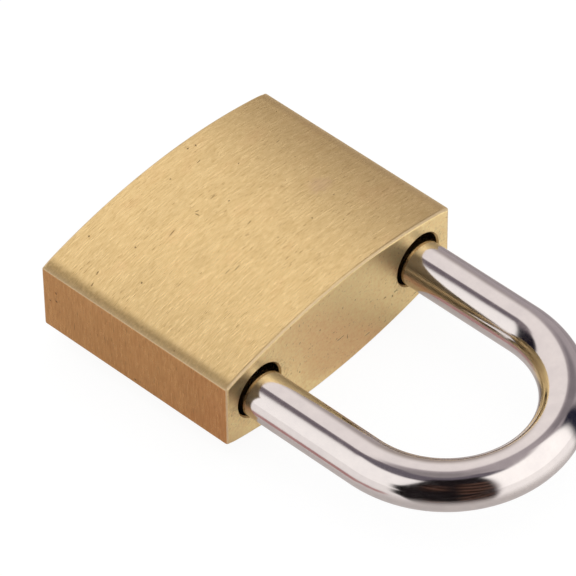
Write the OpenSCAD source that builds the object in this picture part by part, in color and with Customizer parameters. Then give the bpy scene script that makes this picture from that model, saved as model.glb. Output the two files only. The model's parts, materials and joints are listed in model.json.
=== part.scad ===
// Padlock: a solid brass case, a plated steel shackle and a five-pin lock.
// Every piece is drawn standing up, with the keyway end at height 0, the shackle on top, the front
// face towards -Y and the long shackle leg on the +X side. lay_down() then turns the lock onto its
// back: +Y points to the shackle, +Z comes out of the front face, and the origin is the middle of
// the lock's footprint. The shackle is closed and the plug is turned to its open place.

/* [Case] */
// Width of the case between its two narrow sides
case_w = 40; // [38:0.5:46]
// Height of the case from the keyway end to the shackle end
case_h = 30.2; // [29.8:0.2:36]
// Thickness of the case along its narrow sides
edge_t = 9.9; // [9:0.1:12]
// How far each broad face bulges at its middle
face_bulge = 2.75; // [2:0.05:4]
// Rounding of the four upright edges of the case
corner_r = 0.4; // [0.2:0.1:2]
// Width of the bevel round the broad faces
bevel_w = 0.4; // [0.1:0.05:0.6]
// Brass left between a shackle hole and the narrow side
leg_wall = 2.1; // [1.6:0.1:3]
// Brass left above the latch bore
top_wall = 2.1; // [1.5:0.1:3]
// Brass left under the long shackle hole
floor_wall = 1.8; // [1.2:0.1:2.2]

/* [Shackle] */
// Diameter of the shackle wire
wire_d = 6.3; // [5.6:0.1:6.8]
// Straight part of the legs above the case
shackle_rise = 16.7; // [8:0.5:60]
// Room round the wire in its holes
hole_gap = 0.5; // [0.4:0.05:0.7]
// How far the holes stand in front of the wire, which lies at the back of them
hole_rise = 0.35; // [0:0.05:0.35]
// Full wire under the latch notch of the short leg
tip_land = 2; // [1.5:0.1:2.4]
// Thickness of the head at the foot of the long leg
head_t = 2; // [1.5:0.1:2.2]
// Bevel round the ends of the wire
tip_bevel = 0.6; // [0.2:0.1:0.9]
// How far the short leg rises above the case when the shackle is up
open_gap = 1.2; // [0.5:0.1:1.4]

/* [Latches] */
// Diameter of the two latches
latch_d = 4.8; // [4.4:0.1:5]
// Distance of the drive pins from the cam's middle
cam_throw = 1.3; // [1.2:0.05:1.35]
// Diameter of the drive pins
drive_pin_d = 0.9; // [0.7:0.05:1]
// Thickness of the cam's disc
cam_t = 2.8; // [2.4:0.1:3]
// Diameter of the cam's disc
cam_d = 6.4; // [5.6:0.1:7]

/* [Plug] */
// Diameter of the plug
plug_d = 9.5; // [9:0.1:10]
// Diameter of the plug's head
plug_head_d = 11; // [10.6:0.1:12]
// Thickness of the plug's head
plug_head_t = 1.2; // [0.8:0.1:1.4]
// How far the plug's head sits below the end of the case
plug_recess = 0.15; // [0.05:0.05:0.4]
// Width of the keyway
keyway_w = 1.8; // [1.5:0.1:2]
// Height of the keyway
keyway_h = 5.8; // [5:0.1:6.2]
// How far the keyway's wards reach into it
ward_d = 0.5; // [0.2:0.1:0.7]

/* [Pins] */
// Number of pin stacks
pin_count = 5; // [3:1:5]
// Distance between pin stacks
pin_pitch = 3; // [2.7:0.1:3.05]
// Height of the first pin stack above the keyway end
first_pin_z = 3.4; // [3:0.1:3.6]
// Diameter of the key pins and driver pins
pin_d = 2.2; // [1.9:0.1:2.3]
// Length of a driver pin
driver_l = 3.6; // [2.8:0.1:4]
// Length of the plugs that close the pin chambers
chamber_plug_l = 4.5; // [3:0.1:5]
// Diameter of the plugs that close the pin chambers
chamber_plug_d = 2.7; // [2.5:0.1:2.8]
// Diameter of the pin that holds the plug in the case
plug_pin_d = 1.5; // [1.2:0.1:1.6]
// Diameter of the pin that holds the long leg in the case
shackle_pin_d = 2.5; // [2:0.1:2.8]

/* [Springs] */
// Wire diameter of the pin springs
pin_wire_d = 0.22; // [0.18:0.02:0.26]
// Coils in a pin spring
pin_spring_turns = 8; // [5:1:9]
// Wire diameter of the shackle spring
shackle_wire_d = 0.55; // [0.4:0.05:0.6]
// Coils in the shackle spring
shackle_spring_turns = 4; // [3:1:4]
// Thickness of the cap on the shackle spring
spring_cap_t = 0.9; // [0.6:0.1:1.1]

/* [Clearances] */
// Radial room of a piece that turns or slides in its bore
run_gap = 0.06; // [0.04:0.01:0.09]
// Radial room of a piece that is pressed in
press_gap = 0.01; // [0.005:0.005:0.02]
// Room between ends that don't touch
end_gap = 0.1; // [0.05:0.05:0.15]
// Room between the cam's disc and the latches
cam_gap = 0.25; // [0.15:0.05:0.35]
// Radial room of the cam in its bore
cam_room = 0.2; // [0.1:0.05:0.3]
// Room under the foot of the short leg
foot_room = 0.9; // [0.4:0.1:1]

/* [Hidden] */
$fn = 96;
// Facets of the large circles that shape the broad faces
face_fn = 360;
// How far a cutting shape runs past the surface that it cuts
over = 1;

brass = "#D3B070";
pin_brass = "#C9A35C";
steel = "#9AA0A6";
plated_steel = "#DAD7D5";
spring_steel = "#7E8388";

// Lengths of the key pins, first the one next to the keyway's mouth
key_pin_l = [3, 3.6, 2.7, 3.9, 3.3];

// Case: each broad face is part of a round of radius face_r, whose middle is face_back behind it
case_t = edge_t + 2 * face_bulge;
face_r = (pow(case_w / 2, 2) + pow(face_bulge, 2)) / (2 * face_bulge);
face_back = face_r - case_t / 2;
face_slope = asin(case_w / 2 / face_r);
side_bevel_turn = (90 - face_slope) / 2;
side_bevel_cut = bevel_w / 2 * tan(side_bevel_turn);

// Shackle and its holes
wire_r = wire_d / 2;
hole_r = wire_r + hole_gap;
leg_x = case_w / 2 - leg_wall - hole_r;
bow_z = case_h + shackle_rise;
overall_h = bow_z + leg_x + wire_r;
hole_bevel = 0.2;

// Latches: at rest their noses stand nose_back inside the bore's mouth
latch_r = latch_d / 2;
latch_bore_r = latch_r + run_gap;
latch_z = case_h - top_wall - latch_bore_r;
latch_travel = 2 * cam_throw * sin(45);
nose_back = 0.2;
nose_x = leg_x - hole_r - nose_back;
nose_bevel = 0.4;
latch_bite = latch_travel - nose_back - hole_gap;
notch_gap = 0.26;
notch_x = leg_x - wire_r + latch_bite + notch_gap;
notch_h = latch_d + 2 * notch_gap;
drive_pin_r = drive_pin_d / 2;
drive_slot_gap = 0.09;
arm_gap = 0.08;
arm_land = 1.1;
head_room = 0.9;
arm_end_x = -cam_throw * cos(45) - drive_pin_r - drive_slot_gap - arm_land;

// How far a retaining pin runs on into the case past the hole that it crosses
pin_seat = 0.65;

// Cam and plug, from the latches down
cam_top = latch_z - latch_r - cam_gap;
cam_z = cam_top - cam_t;
plug_end = cam_z - end_gap;
cam_r = cam_d / 2;
cam_bore_r = cam_r + cam_room;
cam_bore_top = latch_z + latch_r - end_gap;
drive_pin_room = 0.4;
drive_pin_top = cam_bore_top - drive_pin_room;
tenon_w = 1.3;
tenon_l = 4.2;
tenon_h = 1.2;
plug_r = plug_d / 2;
plug_bore_r = plug_r + run_gap;
plug_bore_top = plug_end + end_gap;
plug_head_r = plug_head_d / 2;
plug_bevel = 0.2;
groove_land = 0.8;
groove_d = 0.75;
groove_r = plug_r - groove_d;
groove_h = plug_pin_d + end_gap;
groove_z = plug_end - groove_land - groove_h;
plug_pin_r = plug_pin_d / 2;
plug_pin_x = groove_r + run_gap + plug_pin_r;
plug_pin_front = sqrt(pow(plug_bore_r, 2) - pow(groove_r, 2)) + pin_seat;

// Keyway, from its mouth to a web that is left under the groove
pin_r = pin_d / 2;
chamber_r = pin_r + run_gap;
web = 0.5;
keyway_end = groove_z - web;
keyway_back_x = 3.8;
ward_h = 1.1;
chamber_floor = 0.2;

// Pin stacks
function pin_z(i) = first_pin_z + i * pin_pitch;
key_pin_top = sqrt(pow(plug_r, 2) - pow(pin_r, 2)) - run_gap / 2;
pin_bevel = 0.2;
key_pin_cone = 0.7;
key_pin_tip_r = 0.4;
driver_in = plug_bore_r + end_gap / 2;
driver_out = driver_in + driver_l;
chamber_plug_in = case_w / 2 - chamber_plug_l;
chamber_plug_r = chamber_plug_d / 2;

// Short leg: its foot stands tip_land under the notch
short_foot = latch_z - notch_h / 2 - tip_land;
short_hole_floor = short_foot - foot_room;
lift = case_h + open_gap - short_foot;

// Long leg: the waist slides past the shackle pin, and the head stops on it
waist_r = wire_r - latch_bite - end_gap;
shackle_pin_r = shackle_pin_d / 2;
shackle_pin_wall = 1.6;
shackle_pin_x = leg_x - waist_r - end_gap - shackle_pin_r;
shackle_pin_z = latch_z - latch_bore_r - shackle_pin_wall - shackle_pin_r;
shackle_pin_front = hole_r + hole_rise + pin_seat;
waist_room = 0.2;
waist_top = shackle_pin_z + shackle_pin_r + waist_room;
waist_foot = shackle_pin_z - shackle_pin_r - lift - end_gap / 2;
long_foot = waist_foot - head_t;

// Shackle spring and its cap
spring_cap_step = 0.2;
spring_cap_r = wire_r + spring_cap_step;
spring_cap_z = long_foot - end_gap / 2 - spring_cap_t;
shackle_coil_r = 2.5;
pin_coil_r = pin_r - pin_wire_d / 2 - run_gap;

// Turns the upright lock onto its back
module lay_down() {
    translate([0, -overall_h / 2, case_t / 2])
        rotate([-90, 0, 0])
            children();
}

// Turns what belongs to the plug from its locked place, with the pins towards -X, to its open place
module turned_open() {
    rotate([0, 0, -90])
        children();
}

// A bar along X from x0 to x1 at the height z
module bar_x(r, x0, x1, z) {
    translate([x0, 0, z])
        rotate([0, 90, 0])
            cylinder(r = r, h = x1 - x0);
}

// A bar along Y from y0 to y1
module bar_y(r, x, z, y0, y1) {
    translate([x, y0, z])
        rotate([-90, 0, 0])
            cylinder(r = r, h = y1 - y0);
}

// A helical spring along Z from 0 to height, whose first and last coils lie closed
module coil_spring(coil_r, wire_r, height, turns, sides, steps_per_turn) {
    closed = 0.75;
    closed_pitch = 2.1 * wire_r;
    closed_rise = closed_pitch * closed;
    open_rise = height - 2 * wire_r - 2 * closed_rise;
    steps = turns * steps_per_turn;
    function rise(t) =
        t < closed ? closed_rise * t / closed :
        t > turns - closed ? closed_rise + open_rise + closed_rise * (t - turns + closed) / closed :
        closed_rise + open_rise * (t - closed) / (turns - 2 * closed);
    points = [
        for (i = [0:steps], j = [0:sides - 1])
            let (t = i / steps_per_turn, a = 360 * t, b = 360 * j / sides, r = coil_r + wire_r * cos(b))
                [r * cos(a), r * sin(a), wire_r + rise(t) + wire_r * sin(b)]
    ];
    walls = [
        for (i = [0:steps - 1], j = [0:sides - 1])
            let (p = i * sides + j, q = i * sides + (j + 1) % sides)
                each [[p, q, q + sides], [p, q + sides, p + sides]]
    ];
    first_end = [for (j = [sides - 1:-1:0]) j];
    last_end = [for (j = [0:sides - 1]) steps * sides + j];
    polyhedron(points, concat([first_end], walls, [last_end]));
}

// Seen from above: two shallow rounds between flat narrow sides
module case_plan() {
    difference() {
        intersection() {
            square([case_w, case_t + 2 * over], center = true);
            translate([0, face_back])
                circle(r = face_r, $fn = face_fn);
            translate([0, -face_back])
                circle(r = face_r, $fn = face_fn);
        }
        for (sx = [0, 1], sy = [0, 1])
            mirror([sx, 0])
                mirror([0, sy])
                    translate([case_w / 2, edge_t / 2])
                        rotate(side_bevel_turn)
                            translate([-side_bevel_cut, -over])
                                square(2 * over);
    }
}

// Seen from the front: a rectangle with round corners
module case_front() {
    translate([-case_w / 2, corner_r])
        square([case_w, case_h - 2 * corner_r]);
    translate([corner_r - case_w / 2, 0])
        square([case_w - 2 * corner_r, case_h]);
    for (x = [-1, 1], z = [corner_r, case_h - corner_r])
        translate([x * (case_w / 2 - corner_r), z])
            circle(r = corner_r);
}

// The bevel where a broad face meets the upper end of the case, as a ring round the face's middle
module rim_bevel() {
    reach = bevel_w * cos(45);
    translate([0, face_back, case_h])
        rotate_extrude($fn = face_fn)
            polygon([[face_r - reach - over, over], [face_r + over, -reach - over], [face_r + over, over]]);
}

module case_blank() {
    difference() {
        intersection() {
            linear_extrude(case_h)
                case_plan();
            rotate([90, 0, 0])
                linear_extrude(case_t + 2 * over, center = true)
                    case_front();
        }
        for (face = [0, 1], end = [0, 1])
            mirror([0, face, 0])
                translate([0, 0, end * case_h])
                    mirror([0, 0, end])
                        rim_bevel();
    }
}

// A shackle hole from floor_z to the top of the case, with a broken rim
module leg_hole(x, floor_z) {
    translate([x, -hole_rise, floor_z])
        cylinder(r = hole_r, h = case_h + over - floor_z);
    translate([x, -hole_rise, case_h - hole_bevel])
        cylinder(r1 = hole_r, r2 = hole_r + hole_bevel + over, h = hole_bevel + over);
}

module body() {
    color(brass)
        difference() {
            case_blank();
            leg_hole(leg_x, floor_wall);
            leg_hole(-leg_x, short_hole_floor);
            translate([0, 0, -over])
                cylinder(r = plug_bore_r, h = plug_bore_top + over);
            translate([0, 0, -over])
                cylinder(r = plug_head_r + end_gap, h = plug_recess + plug_head_t + end_gap + over);
            cylinder(r = cam_bore_r, h = cam_bore_top);
            bar_x(latch_bore_r, -case_w / 2 - over, leg_x, latch_z);
            for (i = [0:pin_count - 1]) {
                bar_x(chamber_r, -case_w / 2 - over, 0, pin_z(i));
                bar_x(chamber_plug_r + press_gap, -case_w / 2 - over, -chamber_plug_in, pin_z(i));
            }
            bar_y(shackle_pin_r + press_gap, shackle_pin_x, shackle_pin_z, -shackle_pin_front, case_t);
            bar_y(plug_pin_r + press_gap, plug_pin_x, groove_z + groove_h / 2, -plug_pin_front, case_t);
        }
}

module cross_bore_plug() {
    color(brass)
        bar_x(latch_bore_r - press_gap, -case_w / 2, -leg_x - hole_r - end_gap, latch_z);
}

module chamber_plugs() {
    color(brass)
        for (i = [0:pin_count - 1])
            bar_x(chamber_plug_r, -case_w / 2, -chamber_plug_in, pin_z(i));
}

// A leg of the U from foot_z up to the bow, with a bevel round its foot
module wire_leg(foot_z) {
    difference() {
        translate([0, 0, foot_z])
            linear_extrude(bow_z - foot_z)
                translate([leg_x, 0])
                    circle(r = wire_r);
        translate([leg_x, 0, foot_z])
            rotate_extrude()
                polygon([
                    [wire_r - tip_bevel - over, -over], [wire_r + over, -over],
                    [wire_r + over, tip_bevel + over]
                ]);
    }
}

// The U of plated wire. The long leg has the waist and head, and both legs have a latch notch.
module shackle() {
    color(plated_steel)
        difference() {
            union() {
                translate([0, 0, bow_z])
                    rotate([90, 0, 0])
                        rotate_extrude(angle = 180)
                            translate([leg_x, 0])
                                circle(r = wire_r);
                wire_leg(long_foot);
                mirror([1, 0, 0])
                    wire_leg(short_foot);
            }
            translate([leg_x, 0, waist_foot])
                rotate_extrude()
                    translate([waist_r, 0])
                        square([wire_d, waist_top - waist_foot]);
            translate([-notch_x, -wire_d, latch_z - notch_h / 2])
                cube([2 * notch_x, 2 * wire_d, notch_h]);
        }
}

// A pin from the back of the case, cut flush with the broad face
module back_pin(r, x, z, front) {
    intersection() {
        bar_y(r, x, z, -front + end_gap, case_t);
        translate([0, -face_back, 0])
            cylinder(r = face_r, h = case_h, $fn = face_fn);
    }
}

module shackle_pin() {
    color(steel)
        back_pin(shackle_pin_r, shackle_pin_x, shackle_pin_z, shackle_pin_front);
}

module plug_pin() {
    color(steel)
        back_pin(plug_pin_r, plug_pin_x, groove_z + groove_h / 2, plug_pin_front);
}

module shackle_spring() {
    color(spring_steel)
        translate([leg_x, -hole_rise, floor_wall])
            coil_spring(shackle_coil_r, shackle_wire_d / 2, spring_cap_z - floor_wall,
                shackle_spring_turns, 8, 20);
}

module spring_cap() {
    color(brass)
        translate([leg_x, -hole_rise, spring_cap_z])
            cylinder(r = spring_cap_r, h = spring_cap_t);
}

// The keyway's outline, with a ward on each wall
module keyway() {
    keyway_front_x = keyway_back_x - keyway_h;
    difference() {
        translate([keyway_front_x, -keyway_w / 2])
            square([keyway_h, keyway_w]);
        translate([keyway_back_x - 2 * ward_h, keyway_w / 2 - ward_d])
            square([ward_h, ward_d + over]);
        translate([keyway_back_x - 4 * ward_h, -keyway_w / 2 - over])
            square([ward_h, ward_d + over]);
    }
}

module plug() {
    color(pin_brass)
        turned_open()
            difference() {
                union() {
                    translate([0, 0, plug_recess])
                        cylinder(r = plug_r, h = plug_end - plug_recess);
                    translate([0, 0, plug_recess])
                        rotate_extrude()
                            polygon([
                                [0, 0], [plug_head_r - plug_bevel, 0], [plug_head_r, plug_bevel],
                                [plug_head_r, plug_head_t], [0, plug_head_t]
                            ]);
                    translate([-tenon_l / 2, -tenon_w / 2, plug_end - over])
                        cube([tenon_l, tenon_w, tenon_h + over]);
                }
                linear_extrude(keyway_end)
                    keyway();
                for (i = [0:pin_count - 1])
                    bar_x(chamber_r, -plug_d, -chamber_floor, pin_z(i));
                translate([0, 0, groove_z])
                    difference() {
                        cylinder(r = plug_d, h = groove_h);
                        translate([0, 0, -over])
                            cylinder(r = groove_r, h = groove_h + 2 * over);
                    }
            }
}

// A disc on the plug's tenon with two drive pins, one for each latch
module cam() {
    color(steel)
        turned_open() {
            difference() {
                translate([0, 0, cam_z])
                    cylinder(r = cam_r, h = cam_t);
                translate([-tenon_l / 2 - end_gap / 2, -tenon_w / 2 - end_gap / 2, cam_z - over])
                    cube([tenon_l + end_gap, tenon_w + end_gap, tenon_h + over]);
            }
            for (a = [135, 315])
                rotate([0, 0, a])
                    translate([cam_throw, 0, cam_top - over])
                        cylinder(r = drive_pin_r, h = drive_pin_top - cam_top + over);
        }
}

// The latch for the +X leg: a round nose and a half-round arm with a slot for its drive pin
module latch() {
    slot_w = drive_pin_d + 2 * drive_slot_gap;
    slot_d = cam_throw + drive_pin_r + drive_slot_gap;
    head_x = head_room - arm_end_x;
    difference() {
        translate([arm_end_x, 0, latch_z])
            rotate([0, 90, 0])
                rotate_extrude()
                    polygon([
                        [0, 0], [latch_r, 0], [latch_r, nose_x - arm_end_x - nose_bevel],
                        [latch_r - nose_bevel, nose_x - arm_end_x], [0, nose_x - arm_end_x]
                    ]);
        translate([arm_end_x - over, -arm_gap, latch_z - latch_d])
            cube([head_x - arm_end_x + over, latch_d, 2 * latch_d]);
        translate([-cam_throw * cos(45) - slot_w / 2, -slot_d, latch_z - latch_d])
            cube([slot_w, slot_d + over, 2 * latch_d]);
    }
}

module latch_long_side() {
    color(steel)
        latch();
}

module latch_short_side() {
    color(steel)
        rotate([0, 0, 180])
            latch();
}

// A key pin, its flat end at the plug's edge and its cone towards the keyway
module key_pin(i) {
    pin_l = key_pin_l[i];
    color(pin_brass)
        turned_open()
            translate([-key_pin_top, 0, pin_z(i)])
                rotate([0, 90, 0])
                    rotate_extrude()
                        polygon([
                            [0, 0], [pin_r - pin_bevel, 0], [pin_r, pin_bevel],
                            [pin_r, pin_l - key_pin_cone], [key_pin_tip_r, pin_l], [0, pin_l]
                        ]);
}

module driver_pin(i) {
    color(pin_brass)
        translate([-driver_out, 0, pin_z(i)])
            rotate([0, 90, 0])
                rotate_extrude()
                    polygon([
                        [0, 0], [pin_r - pin_bevel, 0], [pin_r, pin_bevel],
                        [pin_r, driver_l - pin_bevel], [pin_r - pin_bevel, driver_l], [0, driver_l]
                    ]);
}

module pin_spring(i) {
    color(spring_steel)
        translate([-chamber_plug_in, 0, pin_z(i)])
            rotate([0, 90, 0])
                coil_spring(pin_coil_r, pin_wire_d / 2, chamber_plug_in - driver_out,
                    pin_spring_turns, 6, 10);
}

lay_down() body();
lay_down() cross_bore_plug();
lay_down() chamber_plugs();
lay_down() shackle();
lay_down() shackle_pin();
lay_down() shackle_spring();
lay_down() spring_cap();
lay_down() plug();
lay_down() plug_pin();
lay_down() cam();
lay_down() latch_long_side();
lay_down() latch_short_side();
for (i = [0:pin_count - 1]) {
    lay_down() key_pin(i);
    lay_down() driver_pin(i);
    lay_down() pin_spring(i);
}
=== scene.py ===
"""Looks of the padlock: brushed brass case, chromed shackle and the works inside, on white.

Lengths named below are in millimetres, and mm() turns them into the frame's metres. The case, the
shackle and the six springs are modelled again here, with rounded edges, finer curves and round
wire; every other piece is the CAD's own.
"""

import json
import math

import bmesh
import bpy
import numpy as np
from mathutils import Matrix, Vector


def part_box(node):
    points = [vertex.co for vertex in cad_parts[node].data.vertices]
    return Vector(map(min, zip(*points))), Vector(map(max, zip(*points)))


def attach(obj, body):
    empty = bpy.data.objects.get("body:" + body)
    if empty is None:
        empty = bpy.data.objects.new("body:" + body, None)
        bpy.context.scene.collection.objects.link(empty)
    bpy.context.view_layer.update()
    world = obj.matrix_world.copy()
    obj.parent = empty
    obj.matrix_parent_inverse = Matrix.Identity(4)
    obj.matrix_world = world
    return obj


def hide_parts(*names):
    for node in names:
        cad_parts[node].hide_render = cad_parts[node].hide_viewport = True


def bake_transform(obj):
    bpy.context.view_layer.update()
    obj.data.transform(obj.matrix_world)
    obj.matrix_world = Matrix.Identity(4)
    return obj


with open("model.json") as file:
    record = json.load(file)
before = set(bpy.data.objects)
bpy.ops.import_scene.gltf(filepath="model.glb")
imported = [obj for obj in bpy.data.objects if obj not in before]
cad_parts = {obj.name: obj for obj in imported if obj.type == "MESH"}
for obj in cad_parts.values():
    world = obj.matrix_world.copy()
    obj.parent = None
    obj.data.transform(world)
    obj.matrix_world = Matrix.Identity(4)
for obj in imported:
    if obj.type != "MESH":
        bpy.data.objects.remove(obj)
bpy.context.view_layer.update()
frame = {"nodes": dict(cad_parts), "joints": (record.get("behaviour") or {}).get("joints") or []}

MM = 0.001
X, Y, Z = range(3)


def mm(*values):
    """Millimetres to metres, as one number or a Vector."""
    return values[0] * MM if len(values) == 1 else Vector(values) * MM


def box_mm(node):
    """A CAD node's lowest and highest corners in millimetres."""
    low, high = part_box(node)
    return low / MM, high / MM


def centre_of(node):
    """The middle of a CAD node's box in millimetres, and half its size."""
    low, high = box_mm(node)
    return (low + high) / 2, (high - low) / 2


def travel_of(joint):
    """How far a sliding joint moves from rest, in millimetres."""
    return next(j for j in frame["joints"] if j["name"] == joint)["range_m"][1] / MM


# ---------------------------------------------------------------- sizes that the CAD's boxes give

CASE_LOW, CASE_HIGH = box_mm("body")
SHACKLE_LOW, SHACKLE_HIGH = box_mm("shackle")
HALF_W = CASE_HIGH.x
MID_Z = (CASE_LOW.z + CASE_HIGH.z) / 2
BOTTOM_Y, TOP_Y = CASE_LOW.y, CASE_HIGH.y
WIRE_R = (SHACKLE_HIGH.z - SHACKLE_LOW.z) / 2
LEG_X = SHACKLE_HIGH.x - WIRE_R
LEG_Z = (SHACKLE_HIGH.z + SHACKLE_LOW.z) / 2
BOW_Y = SHACKLE_HIGH.y - LEG_X - WIRE_R
LONG_FOOT_Y = SHACKLE_LOW.y
CAP_LOW, CAP_HIGH = box_mm("spring_cap")
HOLE_Z = (CAP_LOW.z + CAP_HIGH.z) / 2

# ---------------------------------------------------------------- sizes that the boxes don't give

FACE_BULGE = 2.75
CORNER_R = 0.4
HOLE_GAP = 0.5
HOLE_R = WIRE_R + HOLE_GAP
HOLE_RIM = 0.2
# Room round a piece that runs in its bore, round one that is pressed in, and between ends
RUN_GAP = 0.06
PRESS_GAP = 0.01
END_GAP = 0.1
# Room of a latch in its notch, full wire under the short leg's notch, and room under its foot
NOTCH_GAP = 0.26
TIP_LAND = 2
FOOT_ROOM = 0.9
# How far the latches' noses stand inside their bore's mouths while they are drawn back
NOSE_BACK = 0.2
PLUG_R = 4.75
HEAD_BORE_DEPTH = 1.45
CAM_ROOM_R = 3.4
CHAMBER_PLUG_R = 1.35
CHAMBER_PLUG_L = 4.5
PIN_STACKS = range(1, 6)
FACE_R = (HALF_W ** 2 + FACE_BULGE ** 2) / (2 * FACE_BULGE)
FACE_BACK = FACE_R - (CASE_HIGH.z - CASE_LOW.z) / 2


# ---------------------------------------------------------------- meshes

def mesh_object(name, verts, faces, smooth_angle=30):
    """An object from points in millimetres and faces, shaded smooth apart from its sharp edges."""
    mesh = bpy.data.meshes.new(name)
    mesh.from_pydata([tuple(Vector(v) * MM) for v in verts], [], faces)
    mesh.validate()
    piece = bpy.data.objects.new(name, mesh)
    bpy.context.scene.collection.objects.link(piece)
    shade(piece, smooth_angle)
    return piece


def shade(piece, smooth_angle=30):
    """Smooth shading, with edges over smooth_angle degrees marked sharp."""
    bm = bmesh.new()
    bm.from_mesh(piece.data)
    bmesh.ops.recalc_face_normals(bm, faces=bm.faces)
    for face in bm.faces:
        face.smooth = True
    for edge in bm.edges:
        edge.smooth = edge.calc_face_angle(math.pi) < math.radians(smooth_angle)
    bm.to_mesh(piece.data)
    bm.free()


def baked(piece):
    """Applies every modifier of the piece."""
    bpy.context.view_layer.update()
    shaped = piece.evaluated_get(bpy.context.evaluated_depsgraph_get())
    piece.data = bpy.data.meshes.new_from_object(shaped)
    piece.modifiers.clear()


def lathe(rings):
    """Faces that join rings of points, one after the other, with a lid on each end."""
    sides = len(rings[0])
    verts = [point for ring in rings for point in ring]
    faces = []
    for i in range(0, len(verts) - sides, sides):
        faces += [(i + j, i + sides + j, i + sides + (j + 1) % sides, i + (j + 1) % sides)
                  for j in range(sides)]
    faces.append(tuple(range(sides)))
    faces.append(tuple(range(len(verts) - 1, len(verts) - sides - 1, -1)))
    return verts, faces


def drill(axis, centre, steps, sides=96):
    """A stepped round drill along axis, as a temporary cutting object. Each step is a place on
    that axis with the radius there."""
    rings = []
    for along, radius in steps:
        ring = []
        for k in range(sides):
            a = 2 * math.pi * (k + 0.5) / sides
            point = Vector(centre)
            point[axis] = along
            point[(axis + 1) % 3] += radius * math.cos(a)
            point[(axis + 2) % 3] += radius * math.sin(a)
            ring.append(point)
        rings.append(ring)
    return mesh_object("cutter", *lathe(rings))


def block(low, high):
    """A closed box between two corners, as a temporary cutting object."""
    x, y, z = zip(low, high)
    verts = [(x[i], y[j], z[k]) for i in (0, 1) for j in (0, 1) for k in (0, 1)]
    faces = [(0, 1, 3, 2), (4, 6, 7, 5), (0, 4, 5, 1), (2, 3, 7, 6), (0, 2, 6, 4), (1, 5, 7, 3)]
    return mesh_object("cutter", verts, faces)


def cut(piece, cutters, material=None):
    """Takes the cutters out of the piece, leaves the material on the walls, and removes them."""
    for cutter in cutters:
        if material:
            cutter.data.materials.append(material)
        modifier = piece.modifiers.new("cut", "BOOLEAN")
        modifier.operation = "DIFFERENCE"
        modifier.solver = "EXACT"
        modifier.material_mode = "TRANSFER" if material else "INDEX"
        modifier.object = cutter
        baked(piece)
        bpy.data.objects.remove(cutter)


def weigh_normals(piece, smooth_angle):
    """Lets the large faces set the shading where they meet their rounded edges."""
    shade(piece, smooth_angle)
    modifier = piece.modifiers.new("weighted", "WEIGHTED_NORMAL")
    modifier.mode = "FACE_AREA"
    modifier.weight = 100
    modifier.keep_sharp = True
    baked(piece)


# ---------------------------------------------------------------- case

# How far the broad faces roll off towards the narrow sides, and over what width
ROLL_W = 1.7
ROLL_DROP = 0.2
SIDE_FILLET = 0.22
END_FILLET = 0.45
FILLET_STEPS = 6
CORNER_STEPS = 6
ROLL_STEPS = 8
# An even number, so that no strip of a broad face starts on the middle line of the bores
FACE_SPOTS = 50
# Over what distance a face's slope is measured
SLOPE_STEP = 0.01
# A facet whose normal points out of the front or back by more than this is part of a broad face
BROAD_FACE = 0.6


def face_height(x):
    """Height of a broad face over the case's mid plane."""
    past = max(0.0, abs(x) - (HALF_W - ROLL_W)) / ROLL_W
    return math.sqrt(FACE_R ** 2 - x ** 2) - FACE_BACK - ROLL_DROP * past ** 2


def case_outline():
    """Half of the case's outline seen from the front, from -X to +X along the keyway end, and the
    same for the shackle end: points with their outward normals and fillet radii."""
    halves = []
    for end, end_y in ((-1, BOTTOM_Y), (1, TOP_Y)):
        half = []
        for side in (-1, 1):
            corner = Vector((side * (HALF_W - CORNER_R), end_y - end * CORNER_R))
            arc = []
            for k in range(CORNER_STEPS + 1):
                a = math.radians(90 * k / CORNER_STEPS)
                n = Vector((side * math.cos(a), end * math.sin(a)))
                radius = SIDE_FILLET + (END_FILLET - SIDE_FILLET) * math.sin(a) ** 2
                arc.append((corner + n * CORNER_R, n, radius))
            half.append(arc if side < 0 else arc[::-1])
        inner = HALF_W - ROLL_W
        spots = list(np.linspace(-inner, inner, FACE_SPOTS))
        ease = [inner + (HALF_W - CORNER_R - inner) * k / ROLL_STEPS for k in range(1, ROLL_STEPS)]
        spots = [-x for x in ease[::-1]] + spots + ease
        flat = [(Vector((x, end_y)), Vector((0, end)), END_FILLET) for x in spots]
        halves.append(half[0] + flat + half[1])
    return halves


def edge_profile(point, normal, radius):
    """The rounded edge of the front face at one outline point, from the face out to the wall."""
    rows = []
    x = point.x
    drop = face_height(x - normal.x * SLOPE_STEP) - face_height(x)
    slope = math.atan(drop / SLOPE_STEP)
    centre_n = -radius
    centre_z = face_height(x) - centre_n * math.tan(slope) - radius / math.cos(slope)
    for j in range(FILLET_STEPS + 1):
        a = (math.pi / 2 - slope) * (1 - j / FILLET_STEPS)
        at = point + normal * (centre_n + radius * math.cos(a))
        z = centre_z + radius * math.sin(a)
        rows.append((at.x, at.y, face_height(at.x) if j == 0 else z))
    return rows


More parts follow.
